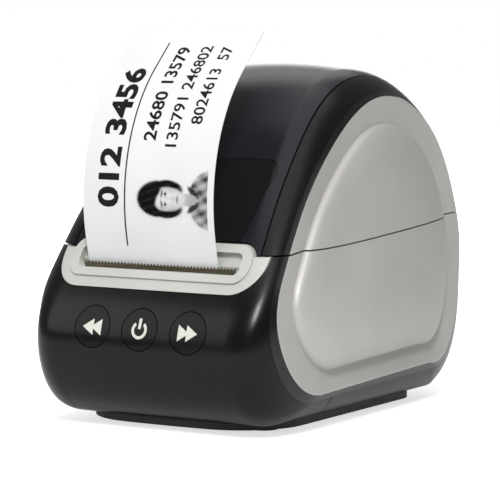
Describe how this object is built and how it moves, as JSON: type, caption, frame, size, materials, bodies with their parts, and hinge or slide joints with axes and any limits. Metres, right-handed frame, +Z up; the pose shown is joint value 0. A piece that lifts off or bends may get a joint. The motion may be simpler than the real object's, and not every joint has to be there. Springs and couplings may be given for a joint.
{
  "type": "label printer",
  "caption": "Desktop label printer with a rounded housing, hinged cover over a label roll, front exit slot with tear bar, and push buttons.",
  "frame": {"origin": "on the table plane, under the middle of the overall width and depth", "axes": "+X to the right seen from the front, -Y out of the front face, +Z up"},
  "size_m": [0.1208, 0.1862, 0.1538],
  "materials": {
    "black_shell": "polished black moulding",
    "smoked_window": "smoked clear plastic",
    "silver_panel": "satin metallic paint",
    "dark_tray": "fine matte texture",
    "rubber": "matte",
    "steel": "plain",
    "pale_plate": "satin warm grey",
    "tear_metal": "worn",
    "paper": "coated label stock",
    "card": "spiral wound card",
    "spool_plastic": "satin",
    "frame_plastic": "satin",
    "gear_plastic": "natural",
    "gear_metal": "turned",
    "heat_sink": "extruded",
    "ceramic": "glazed ceramic",
    "button_black": "satin black",
    "board": "solder mask",
    "chip_black": "moulded"
  },
  "bodies": {
    "base": {"lower_trim_left": "silver_panel", "lower_trim_right": "silver_panel", "front_panel": "black_shell", "base_housing": "black_shell", "bottom_tray": "dark_tray", "rubber_feet": "rubber", "tray_screws": "steel", "hinge_pins": "steel", "exit_bezel": "pale_plate", "tear_bar": "tear_metal", "label_strip": "paper", "roll_cradle": "frame_plastic", "drive_motor": "steel", "platen_bushings": "gear_plastic", "print_head": "heat_sink", "thermal_element": "ceramic", "button_switches": "button_black", "button_board": "board", "main_board": "board", "board_parts": "chip_black", "dc_inlet": "chip_black", "data_port": "steel", "gap_sensor": "chip_black"},
    "cover": {"cover_centre": "black_shell", "cover_window": "smoked_window", "cover_side_left": "black_shell", "cover_side_right": "black_shell", "upper_trim_left": "silver_panel", "upper_trim_right": "silver_panel"},
    "spool": {"spool_spindle": "spool_plastic", "label_core": "card", "label_roll": "paper"},
    "guide": {"guide_flange": "spool_plastic"},
    "platen": {"platen_shaft": "steel", "platen_roller": "rubber", "platen_gear": "gear_plastic"},
    "idler": {"idler_gear": "gear_plastic"},
    "pinion": {"motor_pinion": "gear_metal"},
    "reverse_button": {"reverse_button": "button_black"},
    "power_button": {"power_button": "button_black"},
    "forward_button": {"forward_button": "button_black"}
  },
  "joints": [
    {"name": "cover_hinge", "type": "hinge", "parent": "base", "child": "cover", "pos_m": [0, 0.0871, 0.055], "axis": [-1, 0, 0], "range_deg": [0, 75]},
    {"name": "spool_spin", "type": "hinge", "parent": "base", "child": "spool", "pos_m": [0, 0.0251, 0.081], "axis": [1, 0, 0], "continuous": true},
    {"name": "guide_slide", "type": "slide", "parent": "spool", "child": "guide", "axis": [1, 0, 0], "range_m": [0, 0.006]},
    {"name": "platen_spin", "type": "hinge", "parent": "base", "child": "platen", "pos_m": [0, -0.0664, 0.053], "axis": [1, 0, 0], "continuous": true},
    {"name": "idler_spin", "type": "hinge", "parent": "base", "child": "idler", "pos_m": [0.045, -0.05173, 0.04046], "axis": [1, 0, 0], "continuous": true},
    {"name": "pinion_spin", "type": "hinge", "parent": "base", "child": "pinion", "pos_m": [0.045, -0.0449, 0.025], "axis": [1, 0, 0], "continuous": true},
    {"name": "reverse_press", "type": "slide", "parent": "base", "child": "reverse_button", "axis": [0, 1, 0], "range_m": [0, 0.0008], "stiffness_N_per_m": 900, "springref_m": -0.0004},
    {"name": "power_press", "type": "slide", "parent": "base", "child": "power_button", "axis": [0, 1, 0], "range_m": [0, 0.0008], "stiffness_N_per_m": 900, "springref_m": -0.0004},
    {"name": "forward_press", "type": "slide", "parent": "base", "child": "forward_button", "axis": [0, 1, 0], "range_m": [0, 0.0008], "stiffness_N_per_m": 900, "springref_m": -0.0004}
  ],
  "couplings": [
    {"joint": "idler_spin", "follows": "platen_spin", "ratio": -0.71429},
    {"joint": "pinion_spin", "follows": "platen_spin", "ratio": 1.4286}
  ]
}
